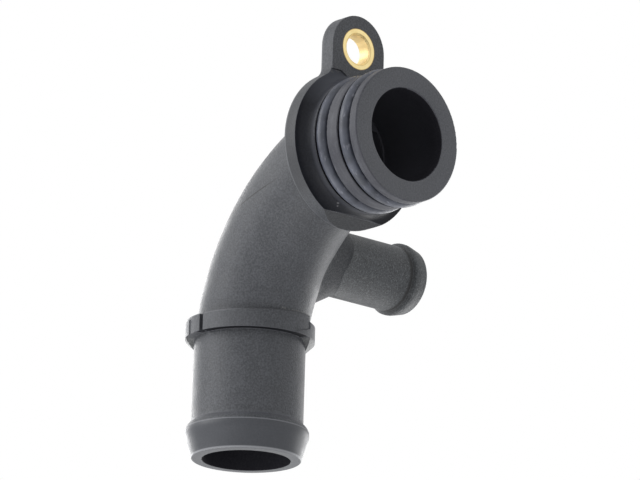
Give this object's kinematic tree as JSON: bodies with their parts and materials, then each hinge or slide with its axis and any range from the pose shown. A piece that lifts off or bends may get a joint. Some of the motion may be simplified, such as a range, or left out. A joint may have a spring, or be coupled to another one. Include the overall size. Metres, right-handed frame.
{
  "type": "coolant pipe",
  "caption": "Moulded plastic coolant elbow with a sealed plug-in spigot, a bolt flange with a brass sleeve, a beaded hose stub with a stop collar and a side branch.",
  "frame": {"origin": "where the spigot's axis crosses the flange's mounting face", "axes": "+X out of the spigot's nose, +Y out of the side branch, +Z from the spigot's axis up to the bolt ear and away from the hose stub"},
  "size_m": [0.0645, 0.0569, 0.0957],
  "materials": {
    "nylon": "glass-filled black nylon, fine spark-eroded grain",
    "brass": "turned, bright",
    "ring_rubber": "satin black, lightly scuffed"
  },
  "bodies": {
    "root": {"pipe_body": "nylon", "bolt_sleeve": "brass", "rear_seal_ring": "ring_rubber", "front_seal_ring": "ring_rubber"}
  },
  "joints": []
}
